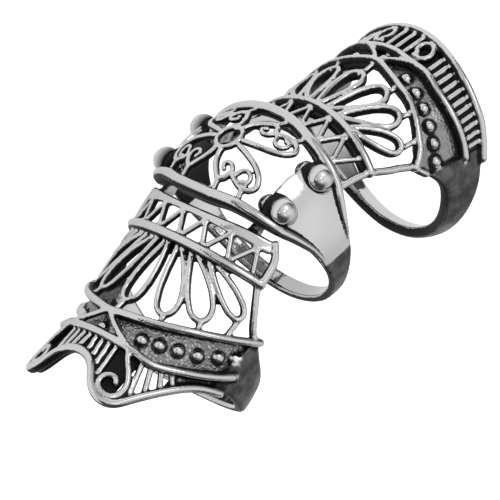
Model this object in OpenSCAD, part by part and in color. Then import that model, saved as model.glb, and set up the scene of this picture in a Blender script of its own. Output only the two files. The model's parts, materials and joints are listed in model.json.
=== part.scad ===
// Knuckle armor ring: a front, a middle and a rear casting on two riveted hinges.
// It is modelled as worn, finger along X and knuckle up, then laid on its far side.

/* [Finger] */
// Outer radius of the front band
front_band_r = 9.95; // [9:0.05:11]
// Outer radius of the middle band
dome_band_r = 11.1; // [10.5:0.05:12]
// Outer radius of the rear band
rear_band_r = 10.9; // [10:0.05:12]
// Wall of the plain bands
band_wall = 1.15; // [0.9:0.05:1.5]

/* [Hinges] */
// Distance of each hinge axis from the middle of the dome
hinge_x = 2.66; // [2.5:0.01:3]
// How far the front section hangs down at rest, in degrees
front_tilt = 23.6; // [22:0.1:45]
// How far the rear section hangs down at rest, in degrees
rear_tilt = 32.5; // [25:0.1:50]
// Diameter of the rivet heads
head_d = 2.8; // [2.2:0.1:3]
// Diameter of the rivet shanks
shank_d = 1.0; // [0.8:0.05:1.1]
// Distance of the back of each rivet head from the middle plane
seat_y = 8.7; // [8.6:0.05:9]
// Running clearance round a shank in a section's ear
ear_clear = 0.08; // [0.05:0.01:0.1]

/* [Casting] */
// Thickness of the plain walls and the sunken ground
wall = 0.8; // [0.6:0.05:1]
// Width of the main raised ribs
rib_w = 1.04; // [0.8:0.01:1.2]
// Width of the outer rims
rim_w = 1.15; // [1:0.05:1.3]
// Width of the round collar before the fan
collar_w = 1.28; // [1.1:0.02:1.5]
// Width of the petals and curls
petal_w = 0.87; // [0.6:0.01:1]
// Width of the slim bars
bar_w = 0.74; // [0.5:0.01:0.9]
// Diameter of the beads
bead_d = 1.2; // [1:0.05:1.4]
// How far the front fan of petals lies below the ribs at its middle
front_fan_sink = 1.02; // [0.4:0.02:1.2]
// How far the rear fan of petals lies below the ribs at its middle
rear_fan_sink = 0.4; // [0.3:0.02:1]
// How far the beaded ground lies below the ribs
ground_sink = 0.61; // [0.3:0.01:0.9]

/* [Rest] */
// Roll about the finger that lays the ring on its far side
lay_roll = 97.5; // [80:0.01:100]
// Pitch along the finger that settles it on its lowest points
lay_pitch = -0.4; // [-5:0.01:5]

/* [Hidden] */
eps = 0.01;
// Sides of the round parts: rivets with bosses and ears, and beads
pin_fn = 16;
bead_fn = 8;
// Where the middle of the hinges lies once the ring is laid down
lay_at = [-1.63, -7.96, 10.08];

// Shell shapes: radius and its slope, centre height with slope and curve,
// where the flare starts and its slope, then radius and centre height of the band
RADIUS = 0; R_SLOPE = 1; CENTRE = 2; C_SLOPE = 3; C_CURVE = 4; FLARE_AT = 5; FLARE = 6;
BAND_R = 7; BAND_Z = 8;
front_shape = [11.95, -0.135, -9.2, 0.27, 0, 19.5, 0.10, front_band_r, -4.2];
rear_shape = [10.3, 0, -9.05, 0.4524, 0, 30, 0, rear_band_r, 0];
dome_shape = [10.5, 0, -5.9, 0, -0.052, 30, 0, dome_band_r, -5.4];

// The shell above 70 degrees from the top turns into the plain band by 110 degrees
function band_share(a) = let(t = min(1, max(0, (abs(a > 180 ? 360 - a : a) - 70) / 40))) t * t * (3 - 2 * t);
function shell_r(s, u) = s[RADIUS] + s[R_SLOPE] * u + s[FLARE] * max(0, u - s[FLARE_AT]);
function shell_z(s, u) = s[CENTRE] + s[C_SLOPE] * u + s[C_CURVE] * u * u;
// A point at distance u along the finger, a degrees from the top towards the near side
function on_shell(s, u, a, lift = 0) =
    let(k = band_share(a),
        r = (1 - k) * shell_r(s, u) + k * s[BAND_R] + lift,
        z = (1 - k) * shell_z(s, u) + k * s[BAND_Z])
    [u, -r * sin(a), z + r * cos(a)];

function unit(v) = v / norm(v);

// Skin of a tube through rings of equal length, open ended or closed on itself
function tube_faces(n, m, closed) = concat(
    [for (i = [0:(closed ? n - 1 : n - 2)]) for (j = [0:m - 1])
        let(i2 = (i + 1) % n, j2 = (j + 1) % m) [i * m + j, i2 * m + j2, i2 * m + j]],
    [for (i = [0:(closed ? n - 1 : n - 2)]) for (j = [0:m - 1])
        let(i2 = (i + 1) % n, j2 = (j + 1) % m) [i * m + j, i * m + j2, i2 * m + j2]],
    closed ? [] : [[for (j = [m - 1:-1:0]) j], [for (j = [0:m - 1]) (n - 1) * m + j]]);

// Rib as high as it is wide along rows of [u, a, lift, width]
module rib(s, rows, sides = 4, closed = false) {
    n = len(rows);
    p = [for (r = rows) on_shell(s, r[0], r[1], r[2])];
    pts = [for (i = [0:n - 1])
        let(before = closed ? p[(i + n - 1) % n] : p[max(i - 1, 0)],
            after = closed ? p[(i + 1) % n] : p[min(i + 1, n - 1)],
            t = unit(after - before),
            up = [0, -sin(rows[i][1]), cos(rows[i][1])],
            side = unit(cross(t, up)),
            top = cross(side, t))
        for (j = [0:sides - 1])
            let(b = 360 * (j + 0.5) / sides, half = rows[i][3] / 2)
            p[i] + side * half * cos(b) + top * half * sin(b)];
    polyhedron(pts, tube_faces(n, sides, closed));
}

// Curved wall along rows of [a, u from, u to]; its outer face lies at lift
module wall_strip(s, rows, lift, thick) {
    pts = [for (r = rows) each [
        on_shell(s, r[1], r[0], lift), on_shell(s, r[2], r[0], lift),
        on_shell(s, r[2], r[0], lift - thick), on_shell(s, r[1], r[0], lift - thick)]];
    polyhedron(pts, tube_faces(len(rows), 4, false));
}

// A casting as one skin at its own size
module one_skin() { resize([0, 0, 0]) children(); }

module bead(s, u, a) {
    translate(on_shell(s, u, a, -ground_sink - 0.03)) rotate([a, 0, 0]) sphere(d = bead_d, $fn = bead_fn);
}

// Bar along the finger between two ribs
module bar(s, a, from, to, lift = -0.1, width = bar_w) {
    rib(s, [[from, a, lift, width], [to, a, lift, width]]);
}

// Share of the way from root to tip, and share of the half width there
petal_form = [[0, 0.1], [0.4, 0.75], [0.8, 1], [0.95, 0.65], [1, 0]];

// Petal: from the root along one side, round the tip and back; sink is its depth on top
module petal(s, root_u, root_a, tip_u, tip_a, half, sink) {
    per_mm = 180 / PI / 10.5;
    along = [tip_u - root_u, (tip_a - root_a) / per_mm];
    across = [-along[1], along[0]] / norm(along);
    last = len(petal_form) - 1;
    rows = [for (i = [0:2 * last])
        let(f = petal_form[min(i, 2 * last - i)],
            q = along * f[0] + across * half * f[1] * (i > last ? -1 : 1),
            a = root_a + q[1] * per_mm)
        [root_u + q[0], a, -sink * pow(cos(a), 2), petal_w]];
    rib(s, rows);
}

/* Front section. Columns of its tables: angle from the top, then place along the finger */
front_u_rib = [[0, 16.8], [10, 16.6], [30, 16.0], [43, 15.3], [60, 14.2], [80, 12.7], [90, 12.1]];
front_l_rib = [[0, 19.3], [28, 19.5], [45, 19.75], [60, 18.95], [79, 17.5], [93, 16.1]];
front_rim = [[0, 21.8], [15, 22.8], [23, 24.4], [32, 25.3], [43, 25.0], [52, 23.2],
             [62, 21.3], [72, 19.8], [90, 18.5], [180, 18.2]];
front_edge = [[58, 7.3], [67, 9.6], [74, 11.1], [80, 11.9], [90, 12.2], [105, 13.2],
              [120, 14.2], [150, 15.6], [180, 16.2]];
front_strip_edge = [[0, 3.4], [16, 3.3], [38, 2.9], [52, 2.8], [60, 2.8]];
front_root_edge = [[0, 8.8], [20, 8.5], [40, 7.8], [58, 7.6]];
// Petals of the near side: root place, root angle, tip place, tip angle, half width
front_petals = [[8.6, 0, 15.1, 0, 1.25], [8.5, 8, 14.7, 30, 1.25], [8.3, 15, 13.4, 50, 1.15],
                [8.1, 26, 11.3, 65, 0.8]];
front_beads = [[18.7, 0], [18.1, 29], [17.7, 40], [17.2, 51], [16.6, 62.5], [15.6, 73.5], [14.8, 84]];
// Path of the near curl from the end of the straight rib: place and angle
front_curl = [[19.7, 28], [20.5, 31], [21.7, 37], [22.9, 41], [24.0, 41], [24.7, 36], [24.5, 30],
              [23.9, 26], [23.1, 26], [22.7, 29], [22.7, 33], [23.2, 35]];

/* Rear section, with the same columns */
rear_u_rib = [[0, 14.3], [12, 13.9], [24, 13.6], [35, 13.6], [43, 13.4], [56, 12.9], [64, 12.6], [70, 11.9]];
rear_l_rib = [[0, 16.3], [18, 16.3], [27, 16.6], [40, 16.6], [50, 16.9], [63, 17.4], [75, 17.8], [86, 17.9]];
rear_rim = [[0, 19.7], [46, 19.7], [58, 19.9], [70, 20.2], [90, 20.2], [120, 20.5], [150, 21.0], [180, 21.3]];
rear_edge = [[57, 6.9], [62, 9.0], [70, 11.9], [80, 13.2], [90, 14.05], [105, 15.6],
             [120, 16.9], [150, 18.9], [180, 19.4]];
rear_petals = [[7.5, 0, 12.5, 0, 1.2], [7.4, 7, 12.4, 23.5, 1.2], [7.3, 15, 11.9, 41, 1.05],
               [7.2, 26, 10.7, 56, 0.8]];
rear_root_edge = [[0, 7.7], [20, 7.6], [40, 7.2], [58, 7.2]];
rear_beads = [[15.5, 0], [15.2, 22], [15.1, 33.5], [15.0, 44], [14.9, 55], [14.9, 65.5], [14.8, 77]];

// Angles on both sides of the top, evenly or from a list for the near side
function both(near) = concat([for (i = [len(near) - 1:-1:1]) -near[i]], near);
function steps_to(end, step) = [for (a = [-end:step:end]) a];
function rim_rows(table, angles, lift, w) = [for (a = angles) [lookup(abs(a), table), a, lift, w]];
function belt_rows(angles, inner, outer) =
    [for (a = angles) [a, lookup(abs(a), inner), lookup(abs(a), outer)]];
// Rows of a band from one side, under the finger, to the other side
function band_rows(start, edge, rim) =
    [for (a = concat([start], [for (b = [ceil(start / 15) * 15:15:359 - start]) b], [360 - start]))
        let(h = a > 180 ? 360 - a : a) [a, lookup(h, edge), lookup(h, rim)]];

// Heights over the shell: strip beside the dome, collar and petal roots, outer rims, plain bands
strip_lift = 0.17; root_lift = -0.12; rim_lift = -0.03; band_lift = 0.05;

// Zigzag between two places along the finger, with teeth of equal angle
module zigzag(s, from, to, tooth, count, first) {
    rib(s, [for (i = [-count:count])
        [(i % 2 == 0) == first ? from : to, i * tooth / 2, -0.2, bar_w * 0.95]]);
}

// Hinge ear: a drilled round plate with an arm that runs into the strip
ear_y = 6.25; ear_t = 0.62; ear_r = 1.15;
module ear(side, reach) {
    translate([0, side * (ear_y + ear_t / 2), 0]) rotate([90, 0, 0])
        linear_extrude(ear_t, center = true) difference() {
            union() {
                circle(r = ear_r, $fn = pin_fn);
                polygon([[0, -ear_r], [reach, -1.0], [reach + 0.6, 0.9], [reach - 0.6, 0.6],
                         [1.5, 0.15], [0.7, 0.9], [0, ear_r]]);
            }
            circle(d = shank_d + 2 * ear_clear, $fn = pin_fn);
        }
}

// Fan of seven petals, each with a nub that ties its tip to the rib beyond
module fan(s, petals, ends, sink) {
    for (p = petals) for (side = p[1] > 0 ? [-1, 1] : [1]) {
        petal(s, p[0], side * p[1], p[2], side * p[3], p[4], sink);
        low = -sink * pow(cos(p[3]), 2);
        rib(s, [[p[2] - 0.1, side * p[3], low, bar_w],
                [lookup(p[3], ends), side * p[3] * 1.02, low / 2, bar_w]]);
    }
}

module front_lattice() {
    s = front_shape;
    whole = steps_to(90, 15);
    union() {
        wall_strip(
            s, belt_rows(steps_to(52, 10.4), front_strip_edge, [[0, 4.4], [90, 4.4]]), strip_lift, wall);
        wall_strip(
            s, belt_rows(steps_to(58, 11.6), [[0, 7], [90, 7]], front_root_edge), root_lift,
            front_fan_sink + wall);
        zigzag(s, 4.3, 7.1, 15.3, 7, true);
        rib(s, [for (a = steps_to(60, 12)) [7.3, a, root_lift, collar_w]], sides = 5);
        fan(s, front_petals, front_u_rib, front_fan_sink);
        rib(s, rim_rows(front_u_rib, whole, 0, rib_w));
        wall_strip(s, belt_rows(whole, front_u_rib, front_l_rib), -ground_sink, wall);
        rib(s, rim_rows(front_l_rib, whole, 0, rib_w));
        for (b = front_beads) for (side = b[1] > 0 ? [-1, 1] : [1]) bead(s, b[0], side * b[1]);
        for (side = [-1, 1]) {
            // The triangle round the top bead
            rib(s, [[16.8, 0, 0.1, bar_w], [19.4, side * 27, 0.1, bar_w]]);
            // End of the strip, and the edge from the collar down to the band
            rib(s, [[3.0, side * 51, 0, bar_w], [4.6, side * 56.5, 0, rib_w], [7.3, side * 60, 0, rib_w]]);
            rib(s, [for (a = [59, 67, 74, 80, 88]) [lookup(a, front_edge), side * a, -0.2, rib_w]]);
            rib(s, [for (c = front_curl) [c[0], side * c[1], 0.05, petal_w]]);
            // Closed ground outside the curls
            wall_strip(s, [for (i = [0:4]) let(a = side * (72 + side * (9 * i - 18)), h = abs(a))
                [a, lookup(h, front_l_rib) - 0.3, lookup(h, front_rim) - 0.25]], -0.33, wall * 0.9);
            for (a = [5, 13, 19]) bar(s, side * a, 19.5, lookup(a, front_rim));
            for (a = [40, 46, 52]) bar(s, side * a, lookup(a, front_l_rib), lookup(a, front_rim) - 0.3);
        }
        rib(s, rim_rows(front_rim, both([0, 7, 15, 23, 27, 32, 37, 43, 52, 62, 72, 80, 90]), rim_lift, rim_w));
        wall_strip(s, band_rows(84, front_edge, front_rim), band_lift, band_wall);
    }
}

module front_section() color("silver") laid() translate([-hinge_x, 0, 0]) rotate([0, front_tilt, 180])
    one_skin() {
        front_lattice();
        for (side = [-1, 1]) ear(side, reach = 3.4);
    }

module rear_lattice() {
    s = rear_shape;
    whole = steps_to(84, 12);
    union() {
        wall_strip(
            s, belt_rows(steps_to(54, 10.8), [[0, 2.6], [54, 1.9]], [[0, 3.7], [90, 3.7]]), strip_lift, wall);
        wall_strip(
            s, belt_rows(steps_to(56, 11.2), [[0, 6.3], [90, 6.6]], rear_root_edge), root_lift,
            rear_fan_sink + wall);
        zigzag(s, 3.6, 6.24, 15.45, 6, false);
        rib(s, [for (a = steps_to(57, 11.4)) [6.5 + 0.4 * pow(a / 57, 2), a, root_lift, collar_w]], sides = 5);
        fan(s, rear_petals, rear_u_rib, rear_fan_sink);
        rib(s, rim_rows(rear_u_rib, steps_to(70, 14), 0, rib_w));
        wall_strip(s, belt_rows(whole, rear_u_rib, rear_l_rib), -ground_sink, wall);
        rib(s, rim_rows(rear_l_rib, whole, 0, rib_w));
        for (b = rear_beads) for (side = b[1] > 0 ? [-1, 1] : [1]) bead(s, b[0], side * b[1]);
        for (side = [-1, 1]) {
            rib(s, [[14.3, 0, 0.1, bar_w], [16.3, side * 19, 0.1, bar_w]]);
            // Edge from the strip past the collar down to the band
            rib(s, [for (a = [[2.2, 53], [6.9, 57], [9, 62.4], [10.6, 66], [11.9, 70], [13.2, 80]])
                [a[0], side * a[1], -0.19, rib_w]]);
            // Curl beside the top bars
            rib(s, [for (i = [0:9]) let(b = 200 - 40 * i, r = 1.15 - 0.045 * i)
                [18.1 + r * cos(b), side * (15.5 + 5.2 * r * sin(b)), 0.05, petal_w]]);
            for (a = [27:6.5:79]) bar(s, side * a, lookup(a, rear_l_rib), lookup(a, rear_rim));
        }
        for (a = [-7, 0, 7]) bar(s, a, 16.4, 19.6);
        rib(s, rim_rows(rear_rim, steps_to(90, 15), rim_lift, rim_w));
        wall_strip(s, band_rows(82.5, rear_edge, rear_rim), band_lift, band_wall);
    }
}

module rear_section() color("silver") laid() translate([hinge_x, 0, 0]) rotate([0, rear_tilt, 0])
    one_skin() {
        rear_lattice();
        for (side = [-1, 1]) ear(side, reach = 2.6);
    }

// Half width of the dome's rim and side plates: angle, place of the rim, width of the rim
dome_rim = [[0, 6.0, 1.25], [12, 5.9, 1.25], [28, 5.3, 1.25], [40, 4.9, 1.2], [53, 4.35, 1.15], [60, 4.0, 1.05],
            [70, 3.2, 0.95], [80, 2.5, 0.8], [94, 1.8, 0.4]];
dome_edge = [[44, 4.7], [60, 3.9], [70, 3.2], [80, 2.7], [94, 2.15], [120, 1.2], [150, 0.95], [180, 0.97]];
// One quarter of the filigree: place and angle along a petal, from the oval round its tip and back
dome_petal = [[1.0, 5], [2.1, 2], [3.3, 5], [4.3, 11], [4.5, 18], [4.1, 27], [3.4, 33], [2.7, 32.5], [1.9, 27],
              [1.1, 18], [0.7, 10]];

// Nubs that tie a petal to the rim and the side plate: place and angle of either end
dome_nubs = [[4.3, 9, 5.9, 11], [3.9, 28, 5.2, 30], [3.2, 32, 2.9, 45]];
filigree_sink = 0.35;

module dome_lattice() {
    s = dome_shape;
    angles = both([for (r = dome_rim) r[0]]);
    at = [for (r = dome_rim) [r[0], r[1]]];
    wide = [for (r = dome_rim) [r[0], r[2]]];
    union() {
        for (end = [-1, 1]) {
            rib(s, [for (a = angles) [end * lookup(abs(a), at), a, -0.1, lookup(abs(a), wide)]], sides = 5);
            for (side = [-1, 1]) {
                rib(s, [for (p = dome_petal) [end * p[0], side * p[1], -filigree_sink, petal_w]], closed = true);
                // Curls inside the petal and nubs out to the rim
                for (c = [[3.1, 12.5], [2.9, 25.5]])
                    rib(s, [for (i = [0:5]) [end * (c[0] + 0.62 * cos(60 * i)), side * (c[1] + 3.4 * sin(60 * i)),
                        -filigree_sink, petal_w * 0.75]], closed = true);
                for (n = dome_nubs)
                    rib(s, [for (k = [0, 2]) [end * n[k], side * n[k + 1], -filigree_sink, bar_w]]);
            }
        }
        // Oval at the middle
        rib(s, [for (i = [0:9]) [1.3 * cos(36 * i), 5.5 * sin(36 * i), -0.3, petal_w * 0.7]],
            closed = true);
        wall_strip(s, [for (r = band_rows(44, dome_edge, dome_edge)) [r[0], -r[1], r[1]]], 0, wall);
    }
}

// Boss under a rivet head, from the plate out to the seat, and the pocket inside for the ear
boss_in = 7.0; boss_r = 1.15; drill_clear = 0.03; pocket_clear = 0.3; pocket_deep = 3;
module at_rivets() for (end = [-1, 1]) for (side = [-1, 1])
    translate([end * hinge_x, 0, 0]) rotate([side * 90, 0, 0]) children();

module knuckle_dome() color("silver") laid() one_skin() difference() {
    union() {
        dome_lattice();
        at_rivets() translate([0, 0, boss_in])
            cylinder(r = boss_r, h = seat_y - boss_in - drill_clear, $fn = pin_fn);
    }
    at_rivets() {
        // Pocket that the ear turns in, the drilled hole and the flat under the head
        translate([0, 0, boss_in - pocket_deep])
            cylinder(r = ear_r + pocket_clear, h = pocket_deep, $fn = pin_fn);
        cylinder(d = shank_d + 2 * drill_clear, h = seat_y + pocket_deep, $fn = pin_fn);
        translate([0, 0, seat_y - drill_clear]) cylinder(d = head_d + 0.2, h = pocket_deep, $fn = pin_fn);
    }
}

// Rivet: domed head outside, shank through plate and ear, small flat tail inside
tail_y = 5.75; tail_r = 0.8; tail_gap = 0.06; dome_r = 1.72; dome_drop = 0.65;
module rivet(end, side) color("gainsboro") laid() translate([end * hinge_x, 0, 0]) rotate([side * 90, 0, 0]) {
    translate([0, 0, tail_y]) cylinder(d = shank_d, h = seat_y - tail_y + eps, $fn = pin_fn);
    translate([0, 0, tail_y]) cylinder(r = tail_r, h = ear_y - tail_gap - tail_y, $fn = pin_fn);
    intersection() {
        translate([0, 0, seat_y]) cylinder(d = head_d, h = dome_r, $fn = pin_fn);
        translate([0, 0, seat_y - dome_drop]) sphere(r = dome_r, $fn = pin_fn);
    }
}

// From the worn pose to the pose in which the ring lies by itself
module laid() translate(lay_at) rotate([0, lay_pitch, 180]) rotate([-lay_roll, 0, 0]) children();

front_section();
knuckle_dome();
rear_section();
rivet(-1, 1);  // rivet_front_near
rivet(-1, -1);  // rivet_front_far
rivet(1, 1);  // rivet_rear_near
rivet(1, -1);  // rivet_rear_far
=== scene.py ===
"""Knuckle armor ring: three pierced castings on two riveted hinges, lying on its side.

The castings are shaped in millimetres as if carved in wax, each in its own frame with the finger
along X and the knuckle up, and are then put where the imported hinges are.
"""

import json
from math import cos, pi, radians, sin

import bpy
import numpy as np
from mathutils import Matrix, Vector
from mathutils.kdtree import KDTree


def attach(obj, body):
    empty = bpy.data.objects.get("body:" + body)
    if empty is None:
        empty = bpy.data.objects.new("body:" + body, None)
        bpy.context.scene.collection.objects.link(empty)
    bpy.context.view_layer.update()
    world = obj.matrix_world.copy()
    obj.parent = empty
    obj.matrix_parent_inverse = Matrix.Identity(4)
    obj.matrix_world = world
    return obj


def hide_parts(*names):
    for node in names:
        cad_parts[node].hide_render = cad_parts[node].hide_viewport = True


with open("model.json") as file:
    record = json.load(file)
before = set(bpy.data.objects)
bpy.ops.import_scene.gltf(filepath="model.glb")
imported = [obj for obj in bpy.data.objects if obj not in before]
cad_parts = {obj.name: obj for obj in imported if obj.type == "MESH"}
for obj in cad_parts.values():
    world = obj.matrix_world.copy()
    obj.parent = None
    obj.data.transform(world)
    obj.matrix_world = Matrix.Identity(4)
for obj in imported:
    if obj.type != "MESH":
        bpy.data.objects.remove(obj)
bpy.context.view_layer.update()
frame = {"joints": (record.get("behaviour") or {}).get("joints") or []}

# Where the ring lies. Its two hinge pins give the worn frame: the finger's way from tip to base,
# the way across the finger, and the way up through the knuckle.
hinges = {joint["name"]: joint for joint in frame["joints"]}
front_pin = Vector(hinges["front_hinge"]["pos_m"])
rear_pin = Vector(hinges["rear_hinge"]["pos_m"])
along_finger = (rear_pin - front_pin).normalized()
across_finger = Vector(hinges["rear_hinge"]["axis"]).normalized()
up_knuckle = along_finger.cross(across_finger)
MM = 0.001
hinge_x = (rear_pin - front_pin).length / 2 / MM
worn_turn = Matrix((along_finger, across_finger, up_knuckle)).transposed()
worn = Matrix.Translation((front_pin + rear_pin) / 2) @ worn_turn.to_4x4() @ Matrix.Scale(MM, 4)


# Front section, the tip of the ring. It is one lost-wax casting in a silver-tone alloy: a finger
# band that widens into a pierced shield of zigzag, petals, beads and curls, with a wavy rim.
front_tilt = radians(23.6)
front_turn = Matrix.Rotation(pi, 4, "Z") @ Matrix.Rotation(front_tilt, 4, "Y")
front_place = worn @ Matrix.Translation((-hinge_x, 0, 0)) @ front_turn
front_band_r = 9.95
band_thick = 1.15
sheet_thick = 0.8
belt_thick = 0.5
backing_thick = 0.6
rib_w = 0.86
rim_w = 0.92
petal_w = 0.64
bar_w = 0.58
collar_w = 1.05
bead_r = 0.65
ground_sink = 0.61
ground_polish = 0.66
# The plain bands are painted darker outside, as a dark reflection
band_painted_dark = 0.38
front_fan_sink = 1.02
# The shield passes over into the band between these angles from the top
shield_ends, band_begins = 70, 110


def shell(radius, centre, band_radius, band_centre, taper=0, rise=0, arch=0, flare=0, flare_from=0):
    """A section's surface: the shield's radius with its slope and flare, its centre's height with slope
    and curve, and the finger band's radius and centre height."""

    def surface(u, a, lift):
        """Points u mm along the finger, a degrees from the top towards -Y, and lift mm proud."""
        u, a, lift = np.broadcast_arrays(np.asarray(u, float), a, lift)
        from_top = np.abs(np.where(a > 180, 360 - a, a))
        share = np.clip((from_top - shield_ends) / (band_begins - shield_ends), 0, 1)
        share = share * share * (3 - 2 * share)
        shield_r = radius + taper * u + flare * np.maximum(0, u - flare_from)
        shield_z = centre + rise * u + arch * u * u
        r = (1 - share) * shield_r + share * band_radius + lift
        z = (1 - share) * shield_z + share * band_centre
        turn = np.radians(a)
        return np.stack([u, -r * np.sin(turn), z + r * np.cos(turn)], -1)

    return surface


def smooth_curve(knots, rows, at):
    """Rows read off a smooth curve that passes through all of them."""
    knots, rows = np.asarray(knots, float), np.asarray(rows, float)
    gap = np.diff(knots)[:, None]
    slope = np.diff(rows, axis=0) / gap
    mid_slope = (slope[:-1] * gap[1:] + slope[1:] * gap[:-1]) / (gap[1:] + gap[:-1])
    lean = np.vstack([slope[:1], mid_slope, slope[-1:]])
    i = np.clip(np.searchsorted(knots, at, side="right") - 1, 0, len(knots) - 2)
    t = ((np.asarray(at) - knots[i]) / gap[i, 0])[:, None]
    return (
        (1 + 2 * t) * (1 - t) ** 2 * rows[i]
        + t * (1 - t) ** 2 * gap[i] * lean[i]
        + t * t * (3 - 2 * t) * rows[i + 1]
        - t * t * (1 - t) * gap[i] * lean[i + 1]
    )


def edge_at(edge, angles):
    """Places along the finger of an edge, given as rows of angle and place, the same on both sides."""
    edge, angles = np.asarray(edge, float), np.asarray(angles, float)
    if edge[0, 0] == 0:
        edge = np.vstack([edge[:0:-1] * (-1, 1), edge])
    from_top = np.abs(np.where(angles > 180, 360 - angles, angles))
    return smooth_curve(edge[:, 0], edge[:, 1:], from_top)[:, 0]


def edge_spot(edge, a):
    """The same at a single angle."""
    return edge_at(edge, [a])[0]


def both_sides(end, step=2.0):
    """Angles from one side over the top to the other."""
    return np.linspace(-end, end, int(2 * end / step) + 1)


def skin_faces(rings, sides, closed):
    """Quads between rings of points, and the two end faces of an open run."""
    faces = []
    for i in range(rings if closed else rings - 1):
        here, there = i * sides, (i + 1) % rings * sides
        for j in range(sides):
            beside = (j + 1) % sides
            faces.append((here + j, there + j, there + beside, here + beside))
    if not closed:
        faces.append(tuple(range(sides)))
        faces.append(tuple((rings - 1) * sides + j for j in reversed(range(sides))))
    return faces


wire_step = 0.28
wire_sides = 14
# How far down a wire's side it stays bright, as a share of its half height, and how soon it turns
# black there; the black flanks are partly patina and partly painted dark reflection and shade
bright_down_to, bright_fade = 0.58, 2.2


def rib(surface, rows, deep=1.3, closed=False, sides=wire_sides, polish=1.0):
    """Wire laid along rows of place, angle, lift and width, bright on top and black below; the black on
    its flanks is partly patina and partly painted dark reflection and shade. Like every piece of wax it
    is given as points, faces, the shine of each point, and its grain."""
    rows = np.asarray(rows, float)
    if closed:
        rows = np.vstack([rows[-2:], rows, rows[:3]])
    steps = np.linalg.norm(np.diff(surface(*rows.T[:3]), axis=0), axis=1)
    reach = np.concatenate([[0], np.cumsum(steps)])
    start, stop = (reach[2], reach[-3]) if closed else (reach[0], reach[-1])
    count = max(5, int((stop - start) / wire_step))
    at = np.linspace(start, stop, count + 1)
    if closed:
        at = at[:-1]
    fine = smooth_curve(reach, rows, at)
    line = surface(*fine.T[:3])
    ahead = (np.roll(line, -1, 0) - np.roll(line, 1, 0)) if closed else np.gradient(line, axis=0)
    ahead /= np.linalg.norm(ahead, axis=1)[:, None]
    turn = np.radians(fine[:, 1])
    out = np.stack([0 * turn, -np.sin(turn), np.cos(turn)], -1)
    side = np.cross(ahead, out)
    side /= np.linalg.norm(side, axis=1)[:, None]
    top = np.cross(side, ahead)
    half = fine[:, 3] / 2
    if not closed:
        # Rounded ends
        cap = np.radians([75, 50, 25])
        line = np.vstack([
            line[0] - ahead[0] * half[0] * np.sin(cap)[:, None], line,
            line[-1] + ahead[-1] * half[-1] * np.sin(cap[::-1])[:, None],
        ])
        half = np.concatenate([half[0] * np.cos(cap), half, half[-1] * np.cos(cap[::-1])])
        side = np.vstack([side[:1]] * 3 + [side] + [side[-1:]] * 3)
        top = np.vstack([top[:1]] * 3 + [top] + [top[-1:]] * 3)
    b = 2 * pi * np.arange(sides) / sides
    ring = side[:, None] * np.cos(b)[:, None] + top[:, None] * np.sin(b)[:, None] * deep
    points = line[:, None] + half[:, None, None] * ring
    shine = polish * np.clip(0.5 + bright_fade * (np.sin(b) - bright_down_to), 0, 1)
    return points.reshape(-1, 3), skin_faces(len(line), sides, closed), np.tile(shine, len(line)), 0.0


def sheet(
    surface, angles, inner, outer, lift, thick, crown=0.0, soft=0.28, polish=1.0, inside=0.5, grain=0.0,
):
    """Curved sheet between two edges, with rounded edges and a crowned face."""
    angles = np.asarray(angles, float)
    u0, u1 = edge_at(inner, angles), edge_at(outer, angles)
    half = np.maximum((u1 - u0) / 2, 0.05)
    soft = np.minimum(soft, 0.9 * half)[:, None]
    # Round the cross-section: over the face, down the outer edge, back below, and up the inner edge
    flat = np.linspace(-1, 1, 11)[1:-1]
    level = 0 * flat
    bend = np.radians(np.linspace(90, 0, 5))
    c, s = np.cos(bend), np.sin(bend)
    across = np.concatenate([-np.ones(5), flat, np.ones(10), flat[::-1], -np.ones(5)])
    corner = np.concatenate([-c[::-1], level, c, c[::-1], level, -c])
    rise = np.concatenate([s[::-1], level + 1, s, -s[::-1], level - 1, -s])
    place = across * (half[:, None] - soft) + corner * soft
    height = np.sign(rise) * (thick / 2 - soft) + rise * soft
    height = height + crown * (rise > 0) * (1 - (place / half[:, None]) ** 2)
    middle = ((u0 + u1) / 2)[:, None]
    lift, polish, inside = (np.broadcast_to(v, angles.shape)[:, None] for v in (lift, polish, inside))
    points = surface(middle + place, angles[:, None], lift - thick / 2 + height)
    # The rounded edges are darker, at about a third of the face's shine
    shine = np.where(rise > 0.5, polish, np.where(rise < -0.5, inside, 0.35 * polish))
    return points.reshape(-1, 3), skin_faces(len(angles), len(rise), False), shine.ravel(), grain


def bead(surface, u, a):
    """Round bead, half sunk in the ground."""
    rings, sectors = 11, 15
    polar = np.radians(np.linspace(0, 180, rings))
    round_ = 2 * pi * np.arange(sectors) / sectors
    ball = np.stack([
        np.outer(np.sin(polar), np.cos(round_)), np.outer(np.sin(polar), np.sin(round_)),
        np.outer(np.cos(polar), np.ones(sectors)),
    ], -1)
    turn = radians(a)
    tip = np.array([[1, 0, 0], [0, cos(turn), -sin(turn)], [0, sin(turn), cos(turn)]])
    points = surface(u, a, -ground_sink) + bead_r * ball.reshape(-1, 3) @ tip.T
    shine = np.clip(0.2 + 1.6 * ball[..., 2].ravel(), 0.05, 1)
    return points, skin_faces(rings, sectors, False), shine, 0.0


def beads(surface, spots):
    """Row of beads at spots of place and angle, the same on both sides."""
    return [bead(surface, u, side * a) for u, a in spots for side in ((-1, 1) if a else (1,))]


def bar(surface, a, start, end, lift=-0.1, width=bar_w, lean=0.0):
    """Short straight wire along the finger, which may lean to one side."""
    return rib(surface, [[start, a, lift, width], [end, a + lean, lift, width]])


def wire(surface, spots, side, lift, width):
    """Wire of one width through spots of place and angle; side is 1, or -1 for the mirror image."""
    return rib(surface, [[u, side * a, lift, width] for u, a in spots])


def edge_rib(surface, edge, end, lift, width):
    """Wire along an edge, up to an angle on either side of the top."""
    angles = both_sides(end)
    return wire(surface, zip(edge_at(edge, angles), angles), 1, lift, width)


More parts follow.
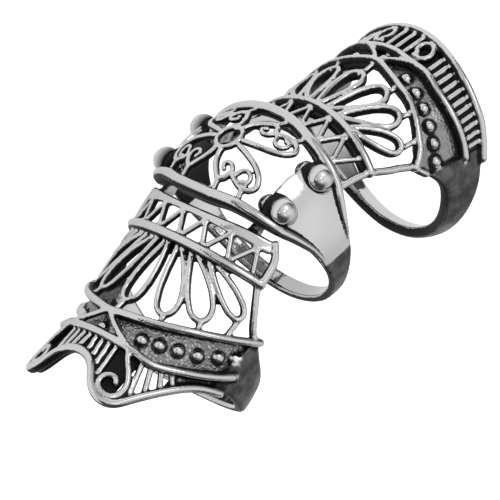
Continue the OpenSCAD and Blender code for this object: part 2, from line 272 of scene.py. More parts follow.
def zigzag(surface, top, other, tooth, count):
    """Teeth between the place of the point at the top and the place of the points beside it."""
    lift = -0.15
    rows = [(other if i % 2 else top, i * tooth / 2) for i in range(-count, count + 1)]
    return [
        rib(surface, [[u0, a0, lift, bar_w], [u1, a1, lift, bar_w]], sides=12)
        for (u0, a0), (u1, a1) in zip(rows, rows[1:])
    ]


# How far out a petal's side stands, from its root to its round tip
petal_side = [(0, 0.16), (0.12, 0.34), (0.4, 0.78), (0.7, 1), (0.88, 0.86), (0.97, 0.48), (1, 0)]
petal_deep = 1.6
# A petal is drawn flat, and a millimetre across it is this many degrees round the shield
deg_per_mm = 180 / pi / 10.5


def petal(surface, root, tip, half, sink, width):
    """One petal: a wire from the root along one side, round the tip and back."""
    along = np.array([tip[0] - root[0], (tip[1] - root[1]) / deg_per_mm])
    across = np.array([-along[1], along[0]]) / np.linalg.norm(along)
    rows = []
    for share, spread, side in [(*p, 1) for p in petal_side] + [(*p, -1) for p in petal_side[-2::-1]]:
        u, v = along * share + across * half * spread * side
        a = root[1] + v * deg_per_mm
        rows.append([root[0] + u, a, -sink * cos(radians(a)) ** 2, width])
    return rib(surface, rows, petal_deep)


def fan(surface, petals, beyond, sink, width=petal_w):
    """Seven petals, each tied to the rib beyond it by a small nub."""
    wax = []
    for root_u, root_a, tip_u, tip_a, half in petals:
        low = -sink * cos(radians(tip_a)) ** 2
        rib_u = edge_spot(beyond, tip_a)
        for side in (-1, 1) if root_a else (1,):
            wax.append(petal(surface, (root_u, side * root_a), (tip_u, side * tip_a), half, sink, width))
            wax.append(rib(surface, [
                [tip_u, side * tip_a, low, bar_w], [rib_u, side * tip_a * 1.02, low / 2, bar_w],
            ]))
    return wax


def ear(side, reach):
    """Round ear of the hinge with its arm into the strip; the pin goes through it."""
    thick, inner_y = 0.62, 6.25
    outer_r, hole_r = 1.15, 0.58
    steps, shine = 24, 0.6
    middle = side * (inner_y + thick / 2)
    ring = []
    for turn in 2 * pi * np.arange(steps) / steps:
        for r, y in ((hole_r, -1), (hole_r, 1), (outer_r, 1), (outer_r, -1)):
            ring.append((r * cos(turn), middle + y * thick / 2, r * sin(turn)))
    arm = [(0.72, -1.0), (reach, -1.0), (reach + 0.6, 0.9), (reach - 0.6, 0.6), (1.5, 0.15), (0.8, 0.7)]
    arm_points = [(x, middle + y * thick / 2, z) for y in (-1, 1) for x, z in arm]
    return [
        (np.array(ring), skin_faces(steps, 4, True), np.full(len(ring), shine), 0.0),
        (np.array(arm_points), skin_faces(2, len(arm), False), np.full(len(arm_points), shine), 0.0),
    ]


def srgb(hex_colour):
    """Linear colour of an sRGB hex value."""
    parts = [int(hex_colour[i : i + 2], 16) / 255 for i in (1, 3, 5)]
    return tuple(c / 12.92 if c <= 0.04045 else ((c + 0.055) / 1.055) ** 2.4 for c in parts) + (1.0,)


def add(tree, kind, links=None, **settings):
    """Adds a node with its settings; links gives an input's value or the socket that feeds it."""
    node = tree.nodes.new(kind)
    for name, value in settings.items():
        setattr(node, name, value)
    for name, value in (links or {}).items():
        if isinstance(value, bpy.types.NodeSocket):
            tree.links.new(value, node.inputs[name])
        else:
            node.inputs[name].default_value = value
    return node


# Cast silver-tone alloy, dipped black and then polished: bright like chrome on all that a buffing
# wheel reaches, and dull black patina in the recesses and on the beaded ground. The black on the
# flanks of the ribs is partly that patina and partly painted dark reflection and shade; the darker
# outside of the bands is painted reflection, and the black inside the side plates and round the
# rivets is painted shade.
blackened_alloy_with_painted_light = bpy.data.materials.new("cast silver-tone alloy, blackened and polished")
blackened_alloy_with_painted_light.use_nodes = True
tree = blackened_alloy_with_painted_light.node_tree
finish = tree.nodes["Principled BSDF"]
place = add(tree, "ShaderNodeTexCoord").outputs["Object"]
shine = add(tree, "ShaderNodeAttribute", attribute_name="shine").outputs["Fac"]
grain = add(tree, "ShaderNodeAttribute", attribute_name="grain").outputs["Fac"]
# Grit of the ground 0.34 mm across, and patches of 1.2 mm where the black is rubbed thin
grit = add(tree, "ShaderNodeTexVoronoi", {"Vector": place, "Scale": 1 / (0.34 * MM)}, feature="F1")
rubbed = add(tree, "ShaderNodeTexNoise", {
    "Vector": place, "Scale": 1 / (1.2 * MM), "Detail": 3.0, "Roughness": 0.6,
})
patchy = add(tree, "ShaderNodeMapRange", {
    "Value": rubbed.outputs["Fac"], "From Min": 0.35, "From Max": 0.65, "To Min": -0.03, "To Max": 0.03,
})
worn_shine = add(tree, "ShaderNodeMath", {0: shine, 1: patchy.outputs["Result"]}, operation="ADD")
bright = add(tree, "ShaderNodeMapRange", {
    "Value": worn_shine.outputs[0], "From Min": 0.25, "From Max": 0.75, "To Min": 0.0, "To Max": 1.0,
}, interpolation_type="SMOOTHSTEP")
grit_top = add(tree, "ShaderNodeMapRange", {
    "Value": grit.outputs["Distance"], "From Min": 0.5, "From Max": 0.1, "To Min": 0.4, "To Max": 0.95,
})
grit_bright = add(tree, "ShaderNodeMath", {
    0: grit_top.outputs["Result"], 1: bright.outputs["Result"],
}, operation="MULTIPLY")
bright_here = add(tree, "ShaderNodeMix", {
    "Factor": grain, "A": bright.outputs["Result"], "B": grit_bright.outputs[0],
}, data_type="FLOAT")
colour = add(tree, "ShaderNodeMix", {"Factor": bright_here.outputs[0]}, data_type="RGBA")
# Black: patina, and painted shade and dark reflection
colour.inputs[6].default_value = srgb("#141415")
colour.inputs[7].default_value = srgb("#DADADB")
dull = add(tree, "ShaderNodeMapRange", {
    "Value": bright_here.outputs[0], "From Min": 0.0, "From Max": 1.0, "To Min": 0.5, "To Max": 0.09,
})
# The black is a tarnish, dull and no metal; even a thin polish lays the metal bare
bare_metal = add(tree, "ShaderNodeMapRange", {
    "Value": bright_here.outputs[0], "From Min": 0.0, "From Max": 0.12, "To Min": 0.0, "To Max": 1.0,
})
grit_height = add(tree, "ShaderNodeMath", {0: grit.outputs["Distance"], 1: grain}, operation="MULTIPLY")
# Cast and hand-polished metal is never quite even
uneven = add(tree, "ShaderNodeMath", {
    0: rubbed.outputs["Fac"], 1: 0.16, 2: grit_height.outputs[0],
}, operation="MULTIPLY_ADD")
pits = add(tree, "ShaderNodeBump", {
    "Height": uneven.outputs[0], "Strength": 0.9, "Distance": 0.12 * MM,
}, invert=True)
tree.links.new(colour.outputs[2], finish.inputs["Base Color"])
tree.links.new(dull.outputs["Result"], finish.inputs["Roughness"])
tree.links.new(pits.outputs["Normal"], finish.inputs["Normal"])
tree.links.new(bare_metal.outputs["Result"], finish.inputs["Metallic"])
finish.inputs["Specular IOR Level"].default_value = 0.2


def read_points(mesh):
    """A mesh's points as an array."""
    flat = np.empty(len(mesh.vertices) * 3, np.float32)
    mesh.vertices.foreach_get("co", flat)
    return flat.reshape(-1, 3).astype(float)


def read_edges(mesh):
    """The two ends of each edge."""
    flat = np.empty(len(mesh.edges) * 2, np.int32)
    mesh.edges.foreach_get("vertices", flat)
    return flat.reshape(-1, 2)


def read_normals(mesh):
    """Which way is out, at each point."""
    flat = np.empty(len(mesh.vertices) * 3, np.float32)
    mesh.vertex_normals.foreach_get("vector", flat)
    return flat.reshape(-1, 3)


def neighbours(values, ends):
    """Mean of the values at each spot's neighbours."""
    size = len(values)
    one, other = ends.T
    count = np.bincount(one, minlength=size) + np.bincount(other, minlength=size)
    total = np.stack([
        np.bincount(one, values[other, k], size) + np.bincount(other, values[one, k], size)
        for k in range(values.shape[1])
    ], 1)
    return total / np.maximum(count, 1)[:, None]


def new_piece(name, points, faces):
    """Object in the scene with a mesh of these points and faces."""
    mesh = bpy.data.meshes.new(name)
    mesh.from_pydata(points.tolist(), [], faces)
    piece = bpy.data.objects.new(name, mesh)
    bpy.context.scene.collection.objects.link(piece)
    return piece


def work(piece, kind, **settings):
    """Works a piece once with one of Blender's tools, and returns its new mesh."""
    tool = piece.modifiers.new("tool", kind)
    for name, value in settings.items():
        setattr(tool, name, value)
    mesh = bpy.data.meshes.new_from_object(piece.evaluated_get(bpy.context.evaluated_depsgraph_get()))
    piece.modifiers.clear()
    piece.data = mesh
    return mesh


# The pieces of wax melt together at this fineness, in mm
wax_grain = 0.155
# A hollow this deep, in mm, starts to hold black, and holds it fully after so much more. It then
# loses this much of its polish, and less on the grainy ground.
black_from, black_fully = 0.012, 0.05
polish_lost, grain_keeps = 0.8, 0.45
# Painted shade lies round the rivets only on the outside of the side plates, and fades out over
# this width
painted_shade_outside, painted_shade_fade = 6.6, 0.16


def cast(name, wax, place, drills=(), blackened=(), voxel=wax_grain):
    """One casting from its pieces of wax: joined, its joints softened, drilled, and blackened. Painted
    shade is left round each of the spots in blackened: place along the finger, height, and radius."""
    faces, start = [], 0
    for points, quads, _, _ in wax:
        faces += [tuple(start + i for i in quad) for quad in quads]
        start += len(points)
    points = np.vstack([points for points, _, _, _ in wax])
    shines = np.concatenate([shine for _, _, shine, _ in wax])
    grains = np.concatenate([np.full(len(shine), grain) for _, _, shine, grain in wax])
    piece = new_piece(name, points, faces)
    mesh = work(piece, "REMESH", mode="VOXEL", voxel_size=voxel)
    # Smoothing alternates with pushing back out, so that thin wires keep their width
    spots, ends = read_points(mesh), read_edges(mesh)
    for push in (0.5, -0.52) * 5:
        spots = spots + push * (neighbours(spots, ends) - spots)
    mesh.vertices.foreach_set("co", spots.astype(np.float32).ravel())
    mesh.update()
    for drill in drills:
        mesh = work(piece, "BOOLEAN", operation="DIFFERENCE", object=drill, solver="MANIFOLD")
    # The nearest wax gives each spot its polish and grain
    spots, ends = read_points(mesh), read_edges(mesh)
    tree_of_wax = KDTree(len(points))
    for i, spot in enumerate(points):
        tree_of_wax.insert(spot, i)
    tree_of_wax.balance()
    nearest = np.array([tree_of_wax.find(spot)[1] for spot in spots])
    shine_here, grain_here = shines[nearest], grains[nearest]
    for _ in range(2):
        shine_here = 0.5 * shine_here + 0.5 * neighbours(shine_here[:, None], ends)[:, 0]
        grain_here = 0.5 * grain_here + 0.5 * neighbours(grain_here[:, None], ends)[:, 0]
    # A spot that lies below its evened-out surroundings is a hollow
    level = spots
    for _ in range(6):
        level = level + 0.6 * (neighbours(level, ends) - level)
    hollow = np.einsum("ij,ij->i", level - spots, read_normals(mesh))
    blackness = np.clip((hollow - black_from) / black_fully, 0, 1)
    shine_here -= blackness * (polish_lost - grain_keeps * grain_here)
    # Painted shade round the rivets, on the outside of the side plates
    for x, z, radius in blackened:
        beyond = np.hypot(spots[:, 0] - x, spots[:, 2] - z) - radius
        outside = np.abs(spots[:, 1]) > painted_shade_outside
        shine_here *= np.where(outside, np.clip(beyond / painted_shade_fade + 0.5, 0, 1), 1)
    for label, values in (("shine", shine_here), ("grain", grain_here)):
        mesh.attributes.new(label, "FLOAT", "POINT").data.foreach_set("value", values.astype(np.float32))
    mesh.transform(place)
    mesh.shade_smooth()
    mesh.materials.clear()
    mesh.materials.append(blackened_alloy_with_painted_light)
    mesh.polygons.foreach_set("material_index", np.zeros(len(mesh.polygons), np.int32))
    return piece


front_shell = shell(
    radius=11.95, centre=-9.2, band_radius=front_band_r, band_centre=-4.2, taper=-0.135, rise=0.27,
    flare=0.10, flare_from=19.5,
)
# Edges: angle from the top, place along the finger from the hinge. The two ribs of the beaded belt,
# the wavy rim, and the side of the band towards the hinge
front_inner_rib = [(0, 16.8), (10, 16.6), (30, 16.0), (43, 15.3), (60, 14.2), (80, 12.7), (90, 12.1)]
front_outer_rib = [(0, 19.3), (28, 19.5), (45, 19.75), (60, 18.95), (79, 17.5), (93, 16.1)]
front_rim = [
    (0, 21.8), (15, 22.8), (23, 24.4), (32, 25.3), (43, 25.0), (52, 23.2), (62, 21.3), (72, 19.8),
    (90, 18.5), (130, 18.3), (180, 18.2),
]
front_edge = [
    (58, 7.3), (67, 9.6), (74, 11.1), (80, 11.9), (90, 12.2), (105, 13.2), (120, 14.2), (150, 15.6),
    (180, 16.2),
]
# Petals from the top down one side: place and angle of the root and of the tip, and half the width
front_petals = [
    (7.7, 0, 15.1, 0, 1.25), (7.6, 9, 14.7, 30, 1.25), (7.5, 18, 13.4, 50, 1.15), (7.5, 29, 11.3, 65, 0.8),
]
front_beads = [(18.7, 0), (18.1, 29), (17.7, 40), (17.2, 51), (16.6, 62.5), (15.6, 73.5), (14.8, 84)]
front_swag = [(16.8, 0), (18.2, 12), (19.4, 27)]
front_shoulder = [(3.0, 51, bar_w), (4.6, 56.5, rib_w), (7.3, 60, rib_w)]
front_curl = [
    (19.7, 28), (20.5, 31), (21.7, 37), (22.9, 41), (24.0, 41), (24.7, 36), (24.5, 30), (23.9, 26),
    (23.1, 26), (22.7, 29), (22.7, 33), (23.2, 35),
]
strip_lift = 0.17
collar_lift = -0.12
rim_lift = -0.03
band_lift = 0.05
swag_lift = 0.1
curl_lift = 0.05
side_lift = -0.2
front_bar_lift = -0.3
front_fan_angles = both_sides(58)
front_fan_lift = -0.25 - front_fan_sink * np.cos(np.radians(front_fan_angles)) ** 2
wax = [
    # Strip under the zigzag at the hinge, then the dark ground at the petals' roots, and the collar
    sheet(
        front_shell, both_sides(52), [(0, 3.6), (16, 3.5), (38, 3.1), (60, 3.0)], [(0, 4.4), (90, 4.4)],
        strip_lift, sheet_thick,
    ),
    sheet(
        front_shell, front_fan_angles, [(0, 7), (90, 7)], [(0, 8.8), (20, 8.5), (40, 7.8), (58, 7.6)],
        front_fan_lift, sheet_thick, polish=0.15,
    ),
    rib(front_shell, [[7.3, a, collar_lift, collar_w] for a in both_sides(60, 6)]),
    edge_rib(front_shell, front_inner_rib, 90, 0, rib_w),
    edge_rib(front_shell, front_outer_rib, 90, 0, rib_w),
    edge_rib(front_shell, front_rim, 90, rim_lift, rim_w),
    # Beaded belt, the dark backing between belt and rim, and the finger band
    sheet(
        front_shell, both_sides(86), front_inner_rib, front_outer_rib, -ground_sink, belt_thick,
        polish=ground_polish, grain=1.0,
    ),
    sheet(front_shell, both_sides(38), front_outer_rib, front_rim, -0.55, backing_thick, polish=0.1),
    sheet(
        front_shell, np.arange(84, 277, 2), front_edge, front_rim, band_lift, band_thick, crown=0.12,
        soft=0.4, polish=band_painted_dark, inside=0.9,
    ),
]
wax += zigzag(front_shell, 4.3, 7.1, tooth=15.3, count=7)
wax += fan(front_shell, front_petals, front_inner_rib, front_fan_sink)
wax += beads(front_shell, front_beads)
side_angles = np.arange(59, 89, 3)
for side in (-1, 1):
    wax += [
        wire(front_shell, front_swag, side, swag_lift, bar_w),
        rib(front_shell, [[u, side * a, 0, width] for u, a, width in front_shoulder]),
        wire(front_shell, zip(edge_at(front_edge, side_angles), side_angles), side, side_lift, 0.75),
        wire(front_shell, front_curl, side, curl_lift, petal_w),
        # Grainy ground between the belt and the rim, 15 degrees either side of 75
        sheet(
            front_shell, side * 75 + np.arange(-15, 16, 2), front_outer_rib, front_rim, -0.33, 0.72,
            polish=ground_polish, grain=1.0,
        ),
    ]
    for a in (2.8, 8.4, 14, 19.6):
        start, end = edge_spot(front_outer_rib, a) + 0.75, edge_spot(front_rim, a)
        wax.append(bar(front_shell, side * a, start, end, front_bar_lift, lean=side * 2))
    slant = 9
    for a in (38.5, 44.5, 50.5, 56):
        start, end = edge_spot(front_outer_rib, a), edge_spot(front_rim, a + slant)
        wax.append(bar(front_shell, side * a, start, end, front_bar_lift, 0.64, side * slant))
    wax += ear(side, 3.4)
front = cast("front_shield", wax, front_place)
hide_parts("front_section")
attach(front, "front")


# Knuckle dome, the middle of the ring. It is one casting too: a narrow band, two plain side plates
# that carry the rivets, two thick rims, and between them an open filigree of an oval and four petals.
dome_band_r = 11.1
dome_shell = shell(radius=10.5, centre=-5.9, band_radius=dome_band_r, band_centre=-5.4, arch=-0.052)
# The rims, the same at both ends: angle from the top, place, and width
dome_rim = [
    (0, 6.0, 1.25), (12, 5.9, 1.25), (28, 5.3, 1.25), (40, 4.9, 1.2), (53, 4.35, 1.15), (60, 4.0, 1.05),
    (70, 3.2, 0.95), (80, 2.5, 0.8), (94, 1.8, 0.4),
]
dome_edge = [
    (44, 4.7), (60, 3.9), (70, 3.2), (80, 2.7), (94, 2.15), (120, 1.2), (150, 0.95), (180, 0.97),
]
# A petal's wire from the oval round its heart-shaped tip and back, the two hooks inside the tip, and
# the ties to the rim: place and angle
dome_petal = [
    (1.35, 1.5), (2.6, 3.5), (3.65, 8), (4.2, 12), (3.85, 15.3), (3.25, 17.3), (3.55, 22), (3.75, 27.3),
    (3.5, 31.7), (2.85, 34.5), (2.05, 33), (1.32, 27.8), (0.8, 19.8), (0.35, 10),
]
dome_hooks = [
    [(3.85, 15.3), (3.25, 17), (2.6, 16), (2.35, 12.6), (2.72, 9.8), (3.15, 11.6)],
    [(3.2, 18), (2.9, 20.6), (2.35, 22), (2.05, 25), (2.4, 28.6), (3.15, 28.4), (3.2, 25.6)],
]
dome_ties = [[(4.2, 12), (5.9, 13)], [(3.7, 28), (5.2, 29.5)]]
hook_w = 0.5
oval_w = 0.56
filigree_sink = 0.35
dome_wires = [(dome_petal, petal_w)]
dome_wires += [(hook, hook_w) for hook in dome_hooks]
dome_wires += [(tie, bar_w) for tie in dome_ties]
angles = both_sides(94)
places = edge_at([(a, u) for a, u, w in dome_rim], angles)
widths = edge_at([(a, w) for a, u, w in dome_rim], angles)
wax = []
for end in (-1, 1):
    rows = [[end * u, a, -0.1, w] for u, a, w in zip(places, angles, widths)]
    wax.append(rib(dome_shell, rows, sides=18))
    for side in (-1, 1):
        for spots, width in dome_wires:
            spots = [(end * u, a) for u, a in spots]
            wax.append(wire(dome_shell, spots, side, -filigree_sink, width))
oval = [[1.45 * cos(t), 7.2 * sin(t), -0.25, oval_w] for t in np.radians(np.arange(0, 360, 30))]
wax.append(rib(dome_shell, oval, closed=True))
# The front rim has a deep flank towards the tip, painted dark as shade, which runs out beside the near
# rivet
flank_in = 0.12
flank_lift = -0.75
flank_share = 0.86
flank = [(-a, u, w) for a, u, w in dome_rim[5:0:-1]] + dome_rim[:6]
wax.append(rib(
    dome_shell, [[flank_in - u, a, flank_lift, flank_share * w] for a, u, w in flank],
    deep=1.9, sides=24, polish=0.42,
))
# Side plates and band are one strip. The plates are bright outside and painted black inside as shade;
# the band is painted darker outside as a dark reflection, and worn bright inside.
angles = np.arange(44, 317, 2)
from_bottom = np.abs(180 - angles)
wax.append(sheet(
    dome_shell, angles, [(a, -u) for a, u in dome_edge], dome_edge, 0, sheet_thick, crown=0.08, soft=0.3,
    polish=np.where(from_bottom > 81, 1.0, band_painted_dark), inside=np.where(from_bottom > 79, 0.1, 0.9),
))

# Bosses under the rivet heads, the pockets in which the ears turn, and the holes for the rivets with
# their seats: distances from the middle plane, and radii
boss_in = 7.0
boss_r = 1.15
seat_y = 8.7
seat_sink = 0.03
pin_r = 0.5
pocket_in = 4.0
pocket_r = 1.45
head_r = 1.4
drilled_out = seat_y + 3
bores = [
    (pocket_in, boss_in, pocket_r),
    (boss_in - 1, drilled_out, pin_r + 0.03),
    (seat_y - seat_sink, drilled_out, head_r + 0.1),
]


def turned(x, side, outline, steps):
    """Points of a piece turned round a hinge axis: radius and distance from the middle plane."""
    turn = 2 * pi * np.arange(steps) / steps
    return np.vstack([
        np.stack([x + r * np.cos(turn), np.full(steps, side * y), r * np.sin(turn)], -1) for r, y in outline
    ])


def facing_out(faces, side):
    """Faces of a turned piece, which are the other way round on the mirrored side."""
    return faces if side < 0 else [face[::-1] for face in faces]


drills = []
for x in (-hinge_x, hinge_x):
    for side in (-1, 1):
        points = turned(x, side, [(boss_r, boss_in), (boss_r, seat_y - seat_sink)], 32)
        faces = skin_faces(2, 32, False)
        wax.append((points, faces, np.full(len(points), 0.5), 0.0))
        for start, stop, r in bores:
            points = turned(x, side, [(r, start), (r, stop)], 32)
            drills.append(new_piece("drill", points, facing_out(faces, side)))
# The painted shade round each rivet lies a little off its pin
painted_shade_rings = [(x - 0.06, 0.19, 1.5) for x in (-hinge_x, hinge_x)]
dome = cast("knuckle_filigree", wax, worn, drills, painted_shade_rings, 0.12)
for drill in drills:
    bpy.data.objects.remove(drill)
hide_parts("knuckle_dome")
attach(dome, "middle")


# Rear section, the base of the ring. One casting like the front, wider in the band, with a plain
# round rim, a comb of short bars beside it and two curls at the top.
rear_tilt = radians(32.5)
rear_place = worn @ Matrix.Translation((hinge_x, 0, 0)) @ Matrix.Rotation(rear_tilt, 4, "Y")
rear_band_r = 10.9
rear_fan_sink = 0.38
rear_petal_w = 0.74
rear_shell = shell(radius=10.3, centre=-9.05, band_radius=rear_band_r, band_centre=0, rise=0.4524)
# Edges as in the front section; the belt's sheet leaves its inner rib beyond 64 degrees
rear_inner_rib = [
    (0, 14.3), (12, 13.9), (24, 13.6), (35, 13.6), (43, 13.4), (56, 12.9), (64, 12.6), (70, 11.9),
    (90, 10.5),
]
rear_belt_edge = rear_inner_rib[:7] + [(74, 12.9), (84, 13.8)]
rear_outer_rib = [
    (0, 16.3), (18, 16.3), (27, 16.6), (40, 16.6), (50, 16.9), (63, 17.4), (75, 17.8), (86, 17.9),
]
rear_rim = [
    (0, 19.7), (46, 19.7), (58, 19.9), (70, 20.2), (90, 20.2), (120, 20.5), (150, 21.0), (180, 21.3),
]
rear_edge = [
    (57, 6.9), (62, 9.0), (70, 11.9), (80, 13.2), (90, 14.0), (105, 15.6), (120, 16.9), (150, 18.9),
    (180, 19.4),
]
rear_petals = [
    (6.9, 0, 12.5, 0, 1.2), (6.9, 8, 12.4, 23.5, 1.2), (6.9, 17, 11.9, 41, 1.05), (6.9, 28, 10.7, 56, 0.8),
]
rear_beads = [(15.5, 0), (15.2, 22), (15.1, 33.5), (15.0, 44), (14.9, 55), (14.9, 65.5), (14.8, 77)]
rear_swag = [(14.3, 0), (15.5, 10), (16.3, 19)]
rear_side_edge = [(2.2, 53), (6.9, 57), (9, 62.4), (10.6, 66), (11.9, 70), (13.2, 80)]
# The curl winds in a little with each of its ten steps
rear_curl = []
for i in range(10):
    r, turn = 1.15 - 0.045 * i, radians(200 - 40 * i)
    rear_curl.append((18.1 + r * cos(turn), 15.5 + 5.2 * r * sin(turn)))
# The comb's bars stop short of the rim
comb_reach = 0.74
comb_w = 0.62
rear_fan_angles = both_sides(56)
rear_fan_lift = -0.3 - rear_fan_sink * np.cos(np.radians(rear_fan_angles)) ** 2
wax = [
    sheet(
        rear_shell, both_sides(54), [(0, 2.6), (54, 1.9)], [(0, 3.7), (90, 3.7)], strip_lift, sheet_thick,
    ),
    sheet(
        rear_shell, rear_fan_angles, [(0, 6.3), (90, 6.6)], [(0, 7.7), (20, 7.6), (40, 7.2), (58, 7.2)],
        rear_fan_lift, sheet_thick, polish=0.15,
    ),
    rib(rear_shell, [[6.5 + 0.4 * (a / 57) ** 2, a, collar_lift, collar_w] for a in both_sides(57, 6)]),
    edge_rib(rear_shell, rear_inner_rib, 70, 0, rib_w),
    edge_rib(rear_shell, rear_outer_rib, 84, 0, rib_w),
    edge_rib(rear_shell, rear_rim, 90, rim_lift, rim_w),
    sheet(
        rear_shell, both_sides(82), rear_belt_edge, rear_outer_rib, -ground_sink, belt_thick,
        polish=0.52, grain=0.3,
    ),
    sheet(rear_shell, both_sides(80), rear_outer_rib, rear_rim, -0.5, backing_thick, polish=0.05),
    sheet(
        rear_shell, np.arange(83, 278, 2), rear_edge, rear_rim, band_lift, band_thick, crown=0.12,
        soft=0.4, polish=band_painted_dark, inside=0.9,
    ),
]
wax += zigzag(rear_shell, 6.2, 3.6, tooth=15.5, count=6)
wax += fan(rear_shell, rear_petals, rear_inner_rib, rear_fan_sink, rear_petal_w)
wax += beads(rear_shell, rear_beads)
for side in (-1, 1):
    wax += [
        wire(rear_shell, rear_swag, side, swag_lift, bar_w),
        wire(rear_shell, rear_side_edge, side, side_lift, 0.8),
        wire(rear_shell, rear_curl, side, curl_lift, petal_w),
    ]
    for a in np.arange(27, 80, 5.2):
        start, rim_u = edge_spot(rear_outer_rib, a), edge_spot(rear_rim, a)
        wax.append(bar(rear_shell, side * a, start, start + comb_reach * (rim_u - start), width=comb_w))
    wax += ear(side, 2.6)
wax += [bar(rear_shell, a, 16.4, 19.6) for a in (-7, 0, 7)]
rear = cast("rear_shield", wax, rear_place)
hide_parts("rear_section")
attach(rear, "rear")


# Four hinge rivets of drawn wire, each with a domed head outside, peened over a small tail inside.
# The heads are bright, and their rims and necks are painted dark as shade where they meet the plate.
polished_wire_with_painted_shade = bpy.data.materials.new("drawn nickel silver wire, headed and buffed")
polished_wire_with_painted_shade.use_nodes = True
tree = polished_wire_with_painted_shade.node_tree
finish = tree.nodes["Principled BSDF"]
finish.inputs["Metallic"].default_value = 1.0
place = add(tree, "ShaderNodeTexCoord").outputs["Object"]
shine = add(tree, "ShaderNodeAttribute", attribute_name="shine").outputs["Fac"]
scuffs = add(tree, "ShaderNodeTexNoise", {"Vector": place, "Scale": 1 / (0.9 * MM), "Detail": 4.0})
scuffed = add(tree, "ShaderNodeMapRange", {
    "Value": scuffs.outputs["Fac"], "From Min": 0.35, "From Max": 0.7, "To Min": 0.08, "To Max": 0.2,
})
colour = add(tree, "ShaderNodeMix", {"Factor": shine}, data_type="RGBA")
# The dark colour is painted shade at the necks and the rims of the heads
colour.inputs[6].default_value = srgb("#222223")
colour.inputs[7].default_value = srgb("#E0E0E1")
tree.links.new(colour.outputs[2], finish.inputs["Base Color"])
tree.links.new(scuffed.outputs["Result"], finish.inputs["Roughness"])

tail_y = 5.75
tail_r = 0.8
tail_top = 6.19
tail_round = 0.1
head_h = 1.07
head_raised = 0.26
head_rows = 26
rivet_steps = 48
ball_y = seat_y + head_h - head_r + head_raised
neck_y = ball_y - head_r / 2
# Turned outline from the tail to the top of the head: radius, distance from the middle, and shine,
# which is painted dark as shade at the neck and the rim of the head
outline = [
    (0.02, tail_y, 0.5), (tail_r - tail_round, tail_y, 0.5), (tail_r, tail_y + tail_round, 0.5),
    (tail_r, tail_top, 0.4), (pin_r, tail_top, 0.3), (pin_r, neck_y, 0.0),
]
for t in np.radians(np.linspace(-30, 89, head_rows)):
    buffed_and_painted_shade = min(1, max(0, 0.75 + 1.6 * sin(t)))
    outline.append((head_r * cos(t), ball_y + head_r * sin(t), buffed_and_painted_shade))
rivet_faces = skin_faces(len(outline), rivet_steps, False)
rivet_shine = np.repeat([polish for _, _, polish in outline], rivet_steps).astype(np.float32)
for end_name, x in (("front", -hinge_x), ("rear", hinge_x)):
    for side_name, side in (("near", -1), ("far", 1)):
        points = turned(x, side, [(r, y) for r, y, _ in outline], rivet_steps)
        rivet = new_piece(f"headed_rivet_{end_name}_{side_name}", points, facing_out(rivet_faces, side))
        mesh = rivet.data
        mesh.attributes.new("shine", "FLOAT", "POINT").data.foreach_set("value", rivet_shine)
        mesh.transform(worn)
        mesh.shade_smooth()
        mesh.materials.append(polished_wire_with_painted_shade)
        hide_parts(f"rivet_{end_name}_{side_name}")
        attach(rivet, "middle")


# The table the ring was photographed on: a sheet of matt white paper. It is lit from behind too, so
# it looks white in the picture while the metal sees it greyer.
half_table = 6
table = new_piece("table", np.array([
    (-half_table, -half_table, 0), (half_table, -half_table, 0),
    (half_table, half_table, 0), (-half_table, half_table, 0),
]), [(0, 1, 2, 3)])
pale = bpy.data.materials.new("matt white paper")
pale.use_nodes = True
tree = pale.node_tree
paper = tree.nodes["Principled BSDF"]
paper.inputs["Base Color"].default_value = srgb("#F4F4F3")
paper.inputs["Roughness"].default_value = 0.85
paper.inputs["Specular IOR Level"].default_value = 0.1
paper.inputs["Emission Color"].default_value = srgb("#FFFFFF")
seen = add(tree, "ShaderNodeLightPath").outputs["Is Camera Ray"]
glow = add(tree, "ShaderNodeMath", {0: seen, 1: 0.6, 2: 0.34}, operation="MULTIPLY_ADD")
tree.links.new(glow.outputs[0], paper.inputs["Emission Strength"])
table.data.materials.append(pale)


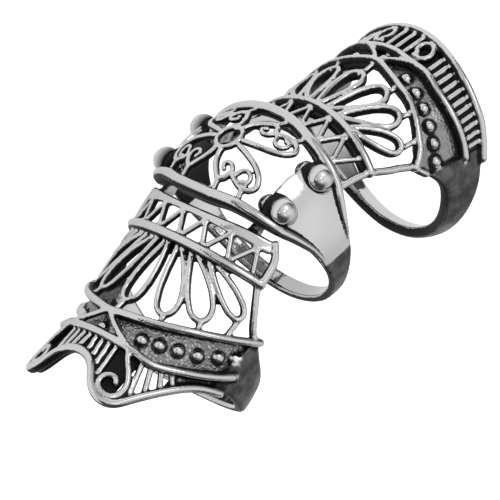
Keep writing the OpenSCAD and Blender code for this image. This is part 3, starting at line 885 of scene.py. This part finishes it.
# The camera has a very long lens, 1.6 m away, and looks at the ring as in the photograph. Its way of
# looking is given against the worn ring: round it, up over it, and rolled.
view_distance = 1.6
view_width = 0.04954
view_round = radians(-29.8)
view_up = radians(37.6)
view_roll = radians(-22.8)
view_offset = Vector((0.687, -8.09, 0)) * MM
eye_turn = Matrix.Rotation(view_round, 3, "Z") @ Matrix.Rotation(pi / 2 - view_up, 3, "X")
eye_axes = worn_turn @ eye_turn @ Matrix.Rotation(view_roll, 3, "Z")
aim = (front_pin + rear_pin) / 2 + eye_axes @ view_offset
eye = aim + eye_axes @ Vector((0, 0, view_distance))
camera_data = bpy.data.cameras.new("camera")
camera_data.sensor_width = 36
camera_data.lens = camera_data.sensor_width * view_distance / view_width
camera_data.clip_start, camera_data.clip_end = 0.05, 50
camera = bpy.data.objects.new("camera", camera_data)
camera.matrix_world = Matrix.Translation(eye) @ eye_axes.to_4x4()
bpy.context.scene.collection.objects.link(camera)
bpy.context.scene.camera = camera
bpy.context.scene.view_settings.view_transform = "Standard"


# The light is a tent of silk round the ring, lit unevenly from outside, as for photographs of
# jewellery. It stands still when the camera moves.
world = bpy.data.worlds.new("studio")
world.use_nodes = True
tree = world.node_tree
view_of = add(tree, "ShaderNodeTexCoord").outputs["Generated"]


def silk(turn, off, full, edge, strength):
    """Lit silk of the tent, off degrees from the lens at a turn round it (0 right, 90 up): full strength
    within one angle, and fading out by the next."""
    t, o = radians(turn), radians(off)
    towards = eye_axes @ Vector((sin(o) * cos(t), sin(o) * sin(t), cos(o)))
    near = add(tree, "ShaderNodeVectorMath", {0: view_of, 1: towards}, operation="DOT_PRODUCT")
    return add(tree, "ShaderNodeMapRange", {
        "Value": near.outputs["Value"], "From Min": cos(radians(edge)), "From Max": cos(radians(full)),
        "To Min": 0.0, "To Max": strength,
    }, interpolation_type="SMOOTHSTEP").outputs["Result"]


# One wide bright side, up and right of the lens. Then in turn: a faint glow at the right, a lamp high
# on the right, small lamps close to the lens on its right, at the left, at the top and at the lower
# right, a wide panel behind for the side plates, and the dark slot low down at the photographer.
light = silk(25, 30, 20, 76, 0.78)
for turn, off, full, edge, strength in (
    (-20, 84, 8, 52, 0.25), (45, 43, 11, 15, 1.3), (10, 16, 6, 9, 0.9), (-165, 30, 5, 8, 1.0),
    (110, 66, 6, 12, 0.9), (-55, 36, 4, 7, 0.9), (-22, 122, 20, 60, 0.45), (-97, 57, 11, 17, -1.6),
):
    spot = silk(turn, off, full, edge, strength)
    light = add(tree, "ShaderNodeMath", {0: light, 1: spot}, operation="ADD").outputs[0]
# Even the darkest silk gives some light
darkest = 0.06
light = add(tree, "ShaderNodeMath", {0: light, 1: darkest}, operation="MAXIMUM").outputs[0]
tree.links.new(light, tree.nodes["Background"].inputs["Strength"])
tree.nodes["Background"].inputs["Color"].default_value = srgb("#FFFFFF")
bpy.context.scene.world = world
